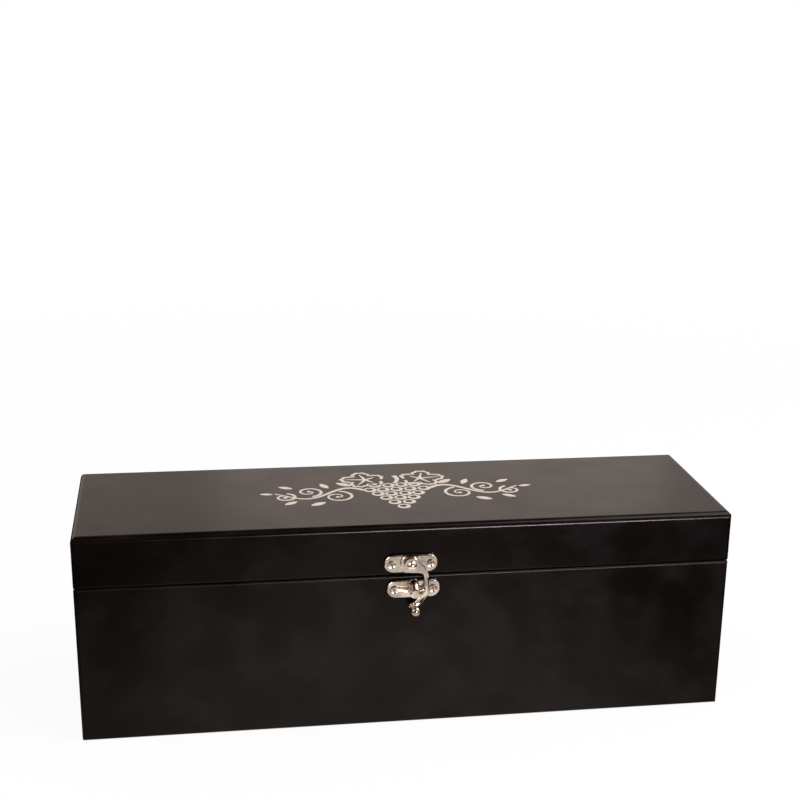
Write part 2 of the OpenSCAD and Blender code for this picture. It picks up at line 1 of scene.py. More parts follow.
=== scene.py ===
# %% [markdown]
# # A lacquered box for one bottle of wine
# Ten boards of dark lacquered wood make the box: a deep case and a shallow lid, mitred at their corners and
# joined by two butt hinges at the back. A cast horn clasp holds the front. Inside, thin boards wrapped in
# velvet line the walls, and two velvet-covered rests carry the bottle.
# The wood and the metal come from the solid model as they are. This lesson adds what a solid model can't
# say: the finish of each surface, the velvet, and the ornament printed on the lid.

# %% Load the solid model
import math

import bmesh
import bpy
import numpy as np
from mathutils import Matrix, Vector


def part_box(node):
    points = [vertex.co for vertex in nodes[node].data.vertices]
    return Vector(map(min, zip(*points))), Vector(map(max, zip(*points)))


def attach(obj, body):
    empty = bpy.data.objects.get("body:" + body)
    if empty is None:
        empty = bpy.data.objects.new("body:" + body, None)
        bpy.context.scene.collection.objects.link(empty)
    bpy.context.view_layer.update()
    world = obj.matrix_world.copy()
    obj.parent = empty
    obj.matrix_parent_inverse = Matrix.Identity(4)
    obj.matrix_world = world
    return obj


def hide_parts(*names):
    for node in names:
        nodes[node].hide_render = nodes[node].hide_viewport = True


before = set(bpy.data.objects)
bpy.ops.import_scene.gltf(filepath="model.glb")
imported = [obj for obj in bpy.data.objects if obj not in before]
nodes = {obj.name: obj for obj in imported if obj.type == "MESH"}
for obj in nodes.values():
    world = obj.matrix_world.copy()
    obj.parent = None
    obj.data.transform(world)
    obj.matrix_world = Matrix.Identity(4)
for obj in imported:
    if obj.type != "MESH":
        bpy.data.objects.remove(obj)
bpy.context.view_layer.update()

# %% [markdown]
# ## The camera
# A camera is a lens, a place and a direction. The place and the three angles below put the box's corners
# where a product shot of such a box has them: a little left of the middle, looking down 19 degrees. The
# two shifts slide the picture without turning the camera, so that upright edges keep their slant.

# %% Camera
CAMERA_PLACE = Vector((-0.1181302, -0.8007225, 0.3892468))
CAMERA_TILT, CAMERA_ROLL, CAMERA_TURN = -0.3365, -0.0195, -0.1736
FOCAL_PIXELS, FRAME_PIXELS = 1516.44, 800
SHIFT_PIXELS = (-36.83, 108.28)
FILM_WIDTH = 36


def aim_camera():
    """Turn about Z, then tilt about X, then roll about the line of sight, as three matrices in a row."""
    turn = (
        Matrix.Rotation(CAMERA_TURN, 3, "Z")
        @ Matrix.Rotation(CAMERA_TILT, 3, "X")
        @ Matrix.Rotation(CAMERA_ROLL, 3, "Y")
    )
    right, forward, up = (turn.col[i] for i in range(3))
    matrix = Matrix((right, up, -forward)).transposed().to_4x4()
    matrix.translation = CAMERA_PLACE
    return matrix


lens = bpy.data.cameras.new("camera")
camera = bpy.data.objects.new("camera", lens)
bpy.context.scene.collection.objects.link(camera)
camera.matrix_world = aim_camera()
lens.sensor_width = FILM_WIDTH
lens.lens = FOCAL_PIXELS / FRAME_PIXELS * FILM_WIDTH
lens.shift_x, lens.shift_y = (pixels / FRAME_PIXELS for pixels in SHIFT_PIXELS)
lens.clip_start = 0.01
bpy.context.scene.camera = camera
print(f"camera: {lens.lens:.1f} mm lens, {camera.location.length * 1000:.0f} mm from the origin")

# %% [markdown]
# ## Tools for writing materials
# A material is a small net of nodes. `place` puts one node in a net and fills its sockets, and the short
# helpers after it each add a step that comes back often: a sum, a mix of colours, a noise. `effect`
# starts a node group: a net with named inputs and outputs, built once and used in several materials.
# A group only works out colours, masks and heights. The shader itself stays in the material.

# %% Helpers for node nets
def is_socket(value):
    """True for the output of a node, and false for a plain number or colour."""
    return isinstance(value, bpy.types.NodeSocket)


def fill(tree, node, sockets):
    """Fills each named or numbered socket of a node with a value or a link."""
    for name, value in sockets.items():
        if is_socket(value):
            tree.links.new(value, node.inputs[name])
        else:
            node.inputs[name].default_value = value


def place(tree, kind, sockets=None, **settings):
    """Adds a node, sets its options and fills its sockets."""
    node = tree.nodes.new(kind)
    for name, value in settings.items():
        setattr(node, name, value)
    fill(tree, node, sockets or {})
    return node


def calc(tree, operation, *values, clamp=False):
    """One step of arithmetic on numbers or sockets."""
    sockets = dict(enumerate(values))
    return place(tree, "ShaderNodeMath", sockets, operation=operation, use_clamp=clamp).outputs[0]


def times(tree, mask, amount):
    """The mask times the amount."""
    return calc(tree, "MULTIPLY", mask, amount)


def plus(tree, base, mask, amount, clamp=False):
    """The base plus a share of the mask."""
    return calc(tree, "ADD", base, times(tree, mask, amount), clamp=clamp)


def vector_calc(tree, operation, *values):
    """One step of arithmetic on vectors."""
    return place(tree, "ShaderNodeVectorMath", dict(enumerate(values)), operation=operation).outputs[0]


def along_axis(tree, vector, index):
    """One of the three numbers of a vector: 0 is X, 1 is Y and 2 is Z."""
    return place(tree, "ShaderNodeSeparateXYZ", {0: vector}).outputs[index]


def blend_colour(tree, mask, first, second):
    """Mixes two colours by a mask, where 0 gives the first."""
    sockets = {0: mask}
    for index, value in ((6, first), (7, second)):
        sockets[index] = value if is_socket(value) else (*value, 1)
    return place(tree, "ShaderNodeMix", sockets, data_type="RGBA").outputs[2]


def remap(tree, value, low, high, to_low=0.0, to_high=1.0):
    """Takes the range low..high of a value to to_low..to_high with soft ends, and stops there."""
    sockets = {0: value, 1: low, 2: high, 3: to_low, 4: to_high}
    return place(tree, "ShaderNodeMapRange", sockets, interpolation_type="SMOOTHSTEP").outputs[0]


def noise(tree, where, scale, detail, rough, stretch=(1, 1, 1)):
    """Soft random pattern; scale counts blotches per metre, and stretch draws them out along an axis."""
    spot = place(tree, "ShaderNodeMapping", {0: where, 3: stretch}, vector_type="POINT").outputs[0]
    sockets = {"Vector": spot, "Scale": scale, "Detail": detail, "Roughness": rough}
    return place(tree, "ShaderNodeTexNoise", sockets).outputs[0]


def effect(name, inputs, outputs):
    """Starts a node group. Each input is (name, kind, value) and each output (name, kind)."""
    group = bpy.data.node_groups.new(name, "ShaderNodeTree")
    for label, kind, value in inputs:
        socket = group.interface.new_socket(label, in_out="INPUT", socket_type="NodeSocket" + kind)
        if value is not None:
            socket.default_value = value
    for label, kind in outputs:
        group.interface.new_socket(label, in_out="OUTPUT", socket_type="NodeSocket" + kind)
    return group, group.nodes.new("NodeGroupInput").outputs, group.nodes.new("NodeGroupOutput").inputs


def use(tree, group, sockets):
    """Places a node group in a material and gives back its outputs."""
    return place(tree, "ShaderNodeGroup", sockets, node_tree=group).outputs


def new_material(name):
    """An empty Principled material, with its object coordinates at hand."""
    material = bpy.data.materials.new(name)
    material.use_nodes = True
    tree = material.node_tree
    where = place(tree, "ShaderNodeTexCoord").outputs["Object"]
    return material, tree, tree.nodes["Principled BSDF"], where


def bump(tree, height, strength, distance):
    """Turns a height pattern into tilted normals, the height given in metres."""
    sockets = {"Strength": strength, "Distance": distance, "Height": height}
    return place(tree, "ShaderNodeBump", sockets).outputs[0]


# %% [markdown]
# ## Effects that several finishes share
# *Worn edges*: lacquer rubs thin along the arrises of a box. The group measures how far a point lies from
# the planes of the box's faces. Where two of these distances are small at once, the point is on an edge,
# and a noise breaks the line up.
# *Handling marks*: wide soft clouds of polish and fingertips, and fine hairlines from wiping.
# *Dust*: tiny specks that only lie where the surface looks up.

# %% Worn edges
def build_edge_wear():
    """The two smallest of the distances to the six faces, added, give the distance to the nearest edge."""
    tree, given, out = effect(
        "worn edges",
        [("Where", "Vector", None), ("Half Size", "Vector", None), ("Middle", "Vector", None),
         ("Width", "Float", 0.001)],
        [("Edge", "Float")],
    )
    gap = vector_calc(tree, "SUBTRACT", given["Where"], given["Middle"])
    depth = vector_calc(tree, "SUBTRACT", given["Half Size"], vector_calc(tree, "ABSOLUTE", gap))
    sides = place(tree, "ShaderNodeSeparateXYZ", {0: depth}).outputs
    x, y, z = (calc(tree, "MAXIMUM", side, 0.0) for side in sides)
    pairs = [calc(tree, "ADD", a, b) for a, b in ((x, y), (y, z), (x, z))]
    nearest = calc(tree, "MINIMUM", calc(tree, "MINIMUM", pairs[0], pairs[1]), pairs[2])
    patchy = noise(tree, given["Where"], 90, 4, 0.6)
    reach = times(tree, given["Width"], remap(tree, patchy, 0.35, 0.7, 0.15, 1.6))
    line = calc(tree, "SUBTRACT", 1.0, calc(tree, "DIVIDE", nearest, reach), clamp=True)
    tree.links.new(line, out["Edge"])
    return tree


edge_wear = build_edge_wear()


# %% Handling marks and hairlines
def build_handling():
    """Three noises: wide clouds, smaller smears, and a long-drawn one for hairlines."""
    tree, given, out = effect(
        "handling marks",
        [("Where", "Vector", None), ("Along", "Vector", (1, 1, 1)), ("Cloud Scale", "Float", 12.0),
         ("Hair Scale", "Float", 900.0)],
        [("Clouds", "Float"), ("Smears", "Float"), ("Hairlines", "Float")],
    )
    warped = vector_calc(tree, "MULTIPLY", given["Where"], (1, 2.2, 1.6))
    drawn = vector_calc(tree, "MULTIPLY", given["Where"], given["Along"])
    for name, spot, scale, detail, rough, warp, low, high in (
        ("Clouds", given["Where"], given["Cloud Scale"], 2.0, 0.45, 0.0, 0.35, 0.68),
        ("Smears", warped, 45.0, 5.0, 0.62, 0.7, 0.48, 0.72),
        ("Hairlines", drawn, given["Hair Scale"], 3.0, 0.7, 0.0, 0.5, 0.78),
    ):
        sockets = {"Vector": spot, "Scale": scale, "Detail": detail, "Roughness": rough, "Distortion": warp}
        pattern = place(tree, "ShaderNodeTexNoise", sockets).outputs[0]
        tree.links.new(remap(tree, pattern, low, high), out[name])
    return tree


handling = build_handling()


# %% Dust
def build_dust():
    """A fine cell pattern cut to sparse specks, times how far the surface looks up."""
    tree, given, out = effect(
        "dust",
        [("Where", "Vector", None), ("Amount", "Float", 0.2)],
        [("Specks", "Float"), ("Film", "Float")],
    )
    cells = place(tree, "ShaderNodeTexVoronoi", {"Vector": given["Where"], "Scale": 620.0})
    dot = remap(tree, cells.outputs["Distance"], 0.06, 0.16, 1.0, 0.0)
    chosen = calc(tree, "LESS_THAN", along_axis(tree, cells.outputs["Color"], 0), given["Amount"])
    up = along_axis(tree, place(tree, "ShaderNodeNewGeometry").outputs["Normal"], 2)
    level = remap(tree, up, 0.3, 0.95)
    tree.links.new(times(tree, times(tree, dot, chosen), level), out["Specks"])
    film = remap(tree, noise(tree, given["Where"], 30, 4, 0.6), 0.4, 0.75)
    tree.links.new(times(tree, film, level), out["Film"])
    return tree


dust = build_dust()
print("effects:", [g.name for g in bpy.data.node_groups])

# %% [markdown]
# ## Lacquered wood
# The boards are planed wood under several coats of dark satin lacquer, rubbed down between coats. Up
# close the grain still shows as very faint long lines, and the rubbing leaves the sheen a little uneven.
# A satin lacquer reflects less than glass, so its IOR is low: it stays nearly black from straight in front
# and turns to a warm grey where light skims over it. The colour under it is close to black.
# Long boards carry their grain along X and end boards along Y, so the same recipe is built twice, and the
# lid's and the case's edges lie in different places, so each gets its own wear. The case keeps a milky
# haze in soft clouds, which is rubbed off the lid, and its rim was never polished as far as its faces.

# %% Lacquer
LACQUER_DARK, LACQUER_BROWN = (0.0018, 0.0009, 0.0003), (0.0050, 0.0028, 0.0016)
CASE_HAZE, LID_HAZE = (0.0068, 0.0047, 0.0042), (0.0018, 0.0011, 0.0013)
WORN_BROWN, DUST_GREY = (0.060, 0.036, 0.022), (0.33, 0.30, 0.27)
LACQUER_ROUGHNESS, LACQUER_IOR, LACQUER_TINT = 0.19, 1.25, (1.0, 0.88, 0.80, 1)
EDGE_WIDTH = 0.0007


def lacquer(name, grain, low, high, haze, rim=None):
    """Grain is how strongly each axis squeezes the pattern; low and high are the corners of the box half.
    Haze is the milky tone of the clouds. Rim gives the two heights between which the polish gets duller."""
    material, tree, shader, where = new_material(name)
    middle, half = (low + high) / 2, (high - low) / 2
    marks = use(tree, handling, {"Where": where, "Along": grain, "Cloud Scale": 36.0, "Hair Scale": 70.0})
    fine = noise(tree, where, 260, 6, 0.65, grain)
    pores = remap(tree, noise(tree, where, 900, 2, 0.5, grain), 0.56, 0.7)
    edge = use(
        tree, edge_wear, {"Where": where, "Half Size": half, "Middle": middle, "Width": EDGE_WIDTH}
    )["Edge"]
    motes = use(tree, dust, {"Where": where, "Amount": 0.012})
    colour = blend_colour(tree, marks["Clouds"], LACQUER_DARK, haze)
    for mask, share, tone in (
        (fine, 0.35, LACQUER_BROWN), (edge, 0.16, WORN_BROWN),
        (motes["Film"], 0.02, DUST_GREY), (motes["Specks"], 0.6, DUST_GREY),
    ):
        colour = blend_colour(tree, times(tree, mask, share), colour, tone)
    rough = LACQUER_ROUGHNESS
    for mask, share in ((marks["Clouds"], 0.05), (marks["Smears"], 0.04), (edge, 0.03)):
        rough = plus(tree, rough, mask, share)
    if rim:
        rough = plus(tree, rough, remap(tree, along_axis(tree, where, 2), *rim), 0.09)
    relief = plus(tree, times(tree, fine, 0.6), marks["Hairlines"], 0.5)
    relief = calc(tree, "SUBTRACT", relief, times(tree, pores, 0.5))
    fill(tree, shader, {
        "Base Color": colour, "Roughness": rough, "Normal": bump(tree, relief, 0.03, 0.00012),
        "IOR": LACQUER_IOR, "Specular Tint": LACQUER_TINT,
    })
    return material


GRAIN_X, GRAIN_Y = (0.06, 1.0, 1.0), (1.0, 0.06, 1.0)
case_low, case_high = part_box("case_front_board")[0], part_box("case_back_board")[1]
lid_low, lid_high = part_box("lid_front_board")[0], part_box("lid_top_board")[1]
case_rim = (case_high.z - 0.0015, case_high.z - 0.0010)
lacquers = {
    ("case", "long"): lacquer("case lacquer, grain along", GRAIN_X, case_low, case_high, CASE_HAZE, case_rim),
    ("case", "end"): lacquer("case lacquer, end boards", GRAIN_Y, case_low, case_high, CASE_HAZE, case_rim),
    ("lid", "long"): lacquer("lid lacquer, grain along", GRAIN_X, lid_low, lid_high, LID_HAZE),
    ("lid", "end"): lacquer("lid lacquer, end boards", GRAIN_Y, lid_low, lid_high, LID_HAZE),
}


def finish(node, material):
    """Gives a node of the solid model one material, in every slot it has."""
    mesh = nodes[node].data
    mesh.materials.clear()
    mesh.materials.append(material)


for half in ("case", "lid"):
    for board in ("front", "back"):
        finish(f"{half}_{board}_board", lacquers[half, "long"])
    for board in ("left", "right"):
        finish(f"{half}_{board}_board", lacquers[half, "end"])
finish("lid_top_board", lacquers["lid", "long"])
finish("case_bottom_board", lacquers["case", "long"])
print("lacquered boards:", sum(n.endswith("board") for n in nodes))

# %% [markdown]
# ## Nickel and steel
# The clasp is cast and tumbled, then plated with bright nickel, which is a little yellow next to steel.
# Tumbling leaves soft waves in the surface and wiping leaves hairlines. Painted shade darkens the metal
# towards the board. Painted dark bands stand for the dark that the upper edges of the plates and the
# tail of the arm mirror, and the catch plate's nickel is painted darker for its darker reflections. The
# hinges are rolled strip with a duller plating, and the screws are turned, with a bright zinc plate. All
# of them are one recipe with other numbers.

# %% Metals
# The second colour is painted shade, laid on the metal towards the board.
PIT_BROWN, PAINTED_SHADE = (0.16, 0.12, 0.09), (0.16, 0.12, 0.095)


def plated(name, bright, dull, roughness, along, wave, hair, shade_plane=None, painted_band=None):
    """Two colours mixed by clouds, hairlines in the roughness, and waves and hairlines in the relief. Shade
    plane gives the two depths along Y between which painted shade darkens the metal towards the board.
    Painted band gives the two heights between which the metal takes on another, painted colour, how far,
    and that colour."""
    material, tree, shader, where = new_material(name)
    marks = use(tree, handling, {"Where": where, "Along": along, "Cloud Scale": 160.0, "Hair Scale": 1600.0})
    pits = remap(tree, noise(tree, where, 2600, 2, 0.5), 0.66, 0.78)
    waves = noise(tree, where, 420, 2, 0.5)
    colour = blend_colour(tree, marks["Clouds"], bright, dull)
    colour = blend_colour(tree, times(tree, pits, 0.5), colour, PIT_BROWN)
    # Painted shade: the metal darkens towards the board, standing in for the shade between the parts and the
    # board.
    if shade_plane:
        near = remap(tree, along_axis(tree, where, 1), *shade_plane)
        near = times(tree, near, remap(tree, noise(tree, where, 500, 3, 0.6), 0.3, 0.7, 0.6, 1.0))
        colour = blend_colour(tree, near, colour, PAINTED_SHADE)
    # A painted band: between two heights the metal takes a darker colour that stands in for the dark it
    # mirrors.
    if painted_band:
        start, end, share, tone = painted_band
        band_mask = times(tree, remap(tree, along_axis(tree, where, 2), start, end), share)
        colour = blend_colour(tree, band_mask, colour, tone)
    rough = plus(tree, roughness, marks["Smears"], 0.10)
    rough = plus(tree, rough, marks["Hairlines"], 0.08)
    relief = plus(tree, times(tree, waves, wave), marks["Hairlines"], hair)
    relief = calc(tree, "SUBTRACT", relief, times(tree, pits, hair))
    fill(tree, shader, {
        "Base Color": colour, "Roughness": rough, "Normal": bump(tree, relief, 0.5, 0.00012), "Metallic": 1.0,
    })
    return material


# %% Clasp, hinges and screws
# The third colour is a darker copy of the nickel, painted on the catch plate for its darker reflections. The
# next two are painted dark reflections, on the tail of the arm and on the plates' top edges.
BRIGHT, DULL, PAINTED_DARKER = (0.92, 0.79, 0.66), (0.78, 0.65, 0.52), (0.52, 0.42, 0.34)
PAINTED_TAIL_DARK, PAINTED_TOP_DARK = (0.34, 0.27, 0.21), (0.045, 0.036, 0.034)
screw_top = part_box("catch_plate_screws")[0].y
plate_low, plate_top = (corner.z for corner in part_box("arm_plate"))
catch_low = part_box("catch_plate")[0].z
catch_top = catch_low + (plate_top - plate_low)


def clasp_metal(name, dull, painted_band):
    """Bright cast nickel with painted shade in the low places, its own dull tone and a painted dark band."""
    shade_plane = (screw_top + 0.0006, screw_top + 0.0014)
    return plated(name, BRIGHT, dull, 0.12, (0.4, 1, 1), 0.45, 0.05, shade_plane, painted_band)


def painted_dark_top(top):
    """A painted dark band on a plate's upper half millimetre, for the dark its top edge mirrors; it grows
    over the half millimetre below it.
    """
    return top - 0.0010, top - 0.0005, 0.9, PAINTED_TOP_DARK


# The arm's tail is painted darker below the foot of the catch plate, fading in over two millimetres round it,
# for the dark that the round tail mirrors.
painted_dark_tail = (catch_low + 0.001, catch_low - 0.001, 0.85, PAINTED_TAIL_DARK)
# Each plate's upper edge gets a painted dark band for the dark it mirrors.
clasp_nickel = clasp_metal("bright cast nickel", DULL, painted_dark_top(plate_top))
# The catch plate's nickel is a copy painted darker, for the darker reflections the lower plate shows.
catch_nickel = clasp_metal("catch nickel, painted darker", PAINTED_DARKER, painted_dark_top(catch_top))
arm_nickel = clasp_metal("arm nickel, tail painted darker", DULL, painted_dark_tail)
hinge_nickel = plated(
    "rolled hinge nickel", (0.72, 0.68, 0.61), (0.58, 0.53, 0.46), 0.24, (0.05, 1, 1), 0.3, 0.25
)
screw_plate = plated("plated screws", (0.80, 0.76, 0.70), (0.60, 0.55, 0.48), 0.20, (1, 1, 1), 0.3, 0.2)
# The clasp screws get the same painted shade, darker towards the board.
clasp_screw_plate = plated(
    "plated clasp screws", (0.86, 0.76, 0.66), (0.66, 0.56, 0.47), 0.15, (1, 1, 1), 0.2, 0.1,
    shade_plane=(screw_top + 0.00018, screw_top + 0.00055),
)
metals = {
    "arm_plate": clasp_nickel, "arm_rivet": clasp_nickel, "catch_plate": catch_nickel,
    "clasp_arm": arm_nickel, "arm_plate_screws": clasp_screw_plate, "catch_plate_screws": clasp_screw_plate,
}
for name in nodes:
    if name.endswith("leaf"):
        metals[name] = hinge_nickel
    elif name.endswith(("screws", "pin")):
        metals.setdefault(name, screw_plate)
for name, metal in metals.items():
    finish(name, metal)
print("metal nodes:", len(metals))

# %% [markdown]
# ## Velvet
# Velvet is a cloth of short upright threads. Seen along the threads it looks deep and dark, and light that
# skims over their tips makes the pale rim that only velvet has: that is the shader's sheen. Fingers and
# bottles push the pile over in patches, which look lighter or darker than the rest.
# The group gives the patches and the pile's own fine relief, and both the lining and the rests use it.

# %% Velvet pile
def build_pile():
    """Patches from a warped noise, threads from a very fine one, and the relief of the two together."""
    tree, given, out = effect(
        "velvet pile",
        [("Where", "Vector", None), ("Dark", "Color", (0, 0, 0, 1)), ("Light", "Color", (1, 1, 1, 1)),
         ("Brushed", "Float", 0.5)],
        [("Colour", "Color"), ("Height", "Float")],
    )
    patch = place(
        tree, "ShaderNodeTexNoise",
        {"Vector": given["Where"], "Scale": 26.0, "Detail": 3.0, "Roughness": 0.5, "Distortion": 0.9},
    ).outputs[0]
    brushed = remap(tree, patch, 0.42, 0.66)
    threads = noise(tree, given["Where"], 2400, 2, 0.6)
    tufts = noise(tree, given["Where"], 700, 3, 0.6)
    mask = times(tree, brushed, given["Brushed"])
    for pattern, share in ((threads, 1.3), (tufts, 0.8)):
        mask = plus(tree, mask, calc(tree, "SUBTRACT", pattern, 0.5), share, clamp=True)
    tree.links.new(blend_colour(tree, mask, given["Dark"], given["Light"]), out["Colour"])
    height = plus(tree, times(tree, threads, 0.5), tufts, 0.5)
    tree.links.new(plus(tree, height, brushed, 0.3), out["Height"])
    return tree


velvet_pile = build_pile()


def velvet(name, dark, light, brushed, sheen):
    """Rough cloth with a sheen; the pile group gives colour and relief."""
    material, tree, shader, where = new_material(name)
    pile = use(
        tree, velvet_pile, {"Where": where, "Dark": (*dark, 1), "Light": (*light, 1), "Brushed": brushed}
    )
    motes = use(tree, dust, {"Where": where, "Amount": 0.01})
    colour = blend_colour(tree, times(tree, motes["Specks"], 0.35), pile["Colour"], DUST_GREY)
    fill(tree, shader, {
        "Base Color": colour, "Normal": bump(tree, pile["Height"], 0.7, 0.0004), "Roughness": 0.95,
        "Specular IOR Level": 0.12, "Sheen Weight": sheen, "Sheen Roughness": 0.35,
        "Sheen Tint": (0.75, 0.30, 0.34, 1),
    })
    return material


lining_velvet = velvet("lining velvet", (0.040, 0.004, 0.008), (0.130, 0.012, 0.022), 0.55, 0.5)
rest_velvet = velvet("rest velvet", (0.048, 0.005, 0.010), (0.155, 0.015, 0.027), 0.75, 0.6)
print("materials so far:", len(bpy.data.materials))

# %% [markdown]
# ## Making a mesh from numbers
# Each new piece is a surface worked out with numpy. `grid_faces` numbers the four-sided faces between
# neighbours of a grid of points, rows by columns, and can close the grid into a tube. Whole arrays are
# shifted and stacked, and `new_piece` gives them to Blender in one call.

# %% From grids to meshes
SAME_PLACE = 1e-6


def grid_faces(rows, columns, closed):
    """Each face joins (r, c), (r, c+1), (r+1, c+1) and (r+1, c); a closed grid also joins its last column
    to its first."""
    r, c = np.meshgrid(np.arange(rows - 1), np.arange(columns if closed else columns - 1), indexing="ij")
    n = (c + 1) % columns
    here, below = r * columns, (r + 1) * columns
    return np.stack([here + c, here + n, below + n, below + c], -1).reshape(-1, 4)


def merge_doubles(mesh):
    """Points of neighbouring grids that share a place become one."""
    work = bmesh.new()
    work.from_mesh(mesh)
    bmesh.ops.remove_doubles(work, verts=work.verts, dist=SAME_PLACE)
    work.normal_update()
    work.to_mesh(mesh)
    work.free()


def new_piece(name, points, faces, body, material, stands_for=(), smooth=True):
    """Puts points in metres and faces in a mesh, merges doubled points, and lets the piece ride on a body."""
    mesh = bpy.data.meshes.new(name)
    mesh.from_pydata(points.tolist(), [], [list(map(int, f)) for f in faces])
    piece = bpy.data.objects.new(name, mesh)
    bpy.context.scene.collection.objects.link(piece)
    merge_doubles(mesh)
    mesh.shade_smooth() if smooth else mesh.shade_flat()
    mesh.materials.append(material)
    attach(piece, body)
    if stands_for:
        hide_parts(*stands_for)
    return piece


# %% [markdown]
# ## The covered lining boards
# A lining board is card or thin ply with velvet wrapped over its face and glued behind, so its edges are
# soft rolls. A box with rounded edges can be written in one rule: take a point on the skin of a plain box,
# find the nearest point of a smaller box inside it, and move out from there by the radius of the roll.
# A few slow waves in the face stand for cloth that is never quite flat.

# %% Covered boards
BOARD_ROLL, BOARD_CELL = 0.46, 0.004
EDGE_CELLS, FEWEST_CELLS, MOST_CELLS = 9, 12, 90
WAVE_DEPTH, WAVE_RIM = 0.00009, 0.006


def unit_faces(counts):
    """Grids on the six faces of a cube from -1 to 1, closer together near the edges, as point lists. The
    faces that would look inwards are turned over; on the middle axis that is the other side."""
    points, faces, start = [], [], 0
    for axis in range(3):
        u_axis, v_axis = [a for a in range(3) if a != axis]
        for side in (-1, 1):
            u, v = (np.sin(np.linspace(-1, 1, counts[a]) * math.pi / 2) for a in (u_axis, v_axis))
            grid = np.empty((counts[u_axis], counts[v_axis], 3))
            grid[..., axis] = side
            grid[..., u_axis], grid[..., v_axis] = u[:, None], v[None, :]
            quads = grid_faces(counts[u_axis], counts[v_axis], False) + start
            if side * (1 if axis != 1 else -1) > 0:
                quads = quads[:, ::-1]
            points.append(grid.reshape(-1, 3))
            faces.append(quads)
            start += grid.shape[0] * grid.shape[1]
    return np.concatenate(points), np.concatenate(faces)


def roll_edges(points, low, high, roll):
    """Nearest point of the box that is smaller by the roll, plus the roll along the way out."""
    core_low, core_high = low + roll, high - roll
    core = np.clip(points, core_low, core_high)
    out = points - core
    length = np.linalg.norm(out, axis=1, keepdims=True)
    return core + out / np.maximum(length, 1e-12) * roll


def covered_board(name, node, body, inward):
    """A velvet-covered board in the place of a plain liner. Inward is the direction of its velvet face,
    which is dented by sin(61 u + 1.3 sin(90 v)) * sin(120 v + 0.7), fading out towards the rim."""
    low, high = (np.array(v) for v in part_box(node))
    size = high - low
    thin = int(np.argmin(size))
    roll = size[thin] * BOARD_ROLL
    counts = [int(min(max(s / BOARD_CELL, FEWEST_CELLS), MOST_CELLS)) for s in size]
    counts[thin] = EDGE_CELLS
    unit, faces = unit_faces(counts)
    points = roll_edges(low + (unit + 1) / 2 * size, low, high, roll)
    on_face = np.clip((unit @ inward), 0, 1)
    flat = [a for a in range(3) if a != thin]
    u, v = points[:, flat].T
    wave = np.sin(u * 61 + 1.3 * np.sin(v * 90)) * np.sin(v * 120 + 0.7)
    rim = np.min(np.minimum(points - low, high - points)[:, flat], axis=1)
    depth = np.clip(rim / WAVE_RIM, 0, 1) * WAVE_DEPTH * (1 + wave)
    points = points - inward * (depth * on_face)[:, None]
    return new_piece(name, points, faces, body, lining_velvet, [node])


X, Y, Z = np.eye(3)
for half in ("case", "lid"):
    covered_board(f"{half}_front_velvet", f"{half}_front_liner", half, Y)
    covered_board(f"{half}_back_velvet", f"{half}_back_liner", half, -Y)
    covered_board(f"{half}_left_velvet", f"{half}_left_liner", half, X)
    covered_board(f"{half}_right_velvet", f"{half}_right_liner", half, -X)
covered_board("case_floor_velvet", "case_floor_liner", "case", Z)
covered_board("lid_top_velvet", "lid_top_liner", "lid", -Z)

# %% [markdown]
# ## The bottle rests
# Each rest is a block of wood cut to the bottle's round and wrapped in velvet. Its outline is a closed
# curve, and the block is that curve carried along X. At either end the curve draws in and the surface
# turns over, so that the velvet rolls round every edge. The outline's own corners are rounded first,
# by walking from corner to corner and swinging a small arc at each.

# %% Outlines with rounded corners
CORNER_POINTS, LOOP_POINTS, ROLL_STEPS, RUN_STEPS = 7, 240, 7, 15


def round_corner(before, corner, after, radius):
    """An arc that touches both lines: it starts where radius * tan(half the turn) is left to the corner."""
    a, b = (before - corner), (after - corner)
    a, b = a / np.linalg.norm(a), b / np.linalg.norm(b)
    opening = math.acos(float(np.clip(a @ b, -1, 1)))
    reach = radius / math.tan(opening / 2)
    middle = corner + (a + b) / np.linalg.norm(a + b) * radius / math.sin(opening / 2)
    start, end = corner + a * reach - middle, corner + b * reach - middle
    t = np.linspace(0, 1, CORNER_POINTS)[:, None]
    swing = math.pi - opening
    return middle + (np.sin((1 - t) * swing) * start + np.sin(t * swing) * end) / math.sin(swing)


def outline(corners, radii):
    """Rounds each corner of a closed polygon by its own radius; a radius of 0 keeps the point."""
    corners = np.array(corners, float)
    parts = []
    for index, radius in enumerate(radii):
        before, corner, after = corners[index - 1], corners[index], corners[(index + 1) % len(corners)]
        parts.append(corner[None] if radius == 0 else round_corner(before, corner, after, radius))
    return np.concatenate(parts)


def even_steps(loop, count):
    """The same closed curve with its points at even distances along it."""
    closed = np.vstack([loop, loop[:1]])
    far = np.concatenate([[0], np.cumsum(np.linalg.norm(np.diff(closed, axis=0), axis=1))])
    at = np.linspace(0, far[-1], count, endpoint=False)
    return np.column_stack([np.interp(at, far, closed[:, k]) for k in range(2)])


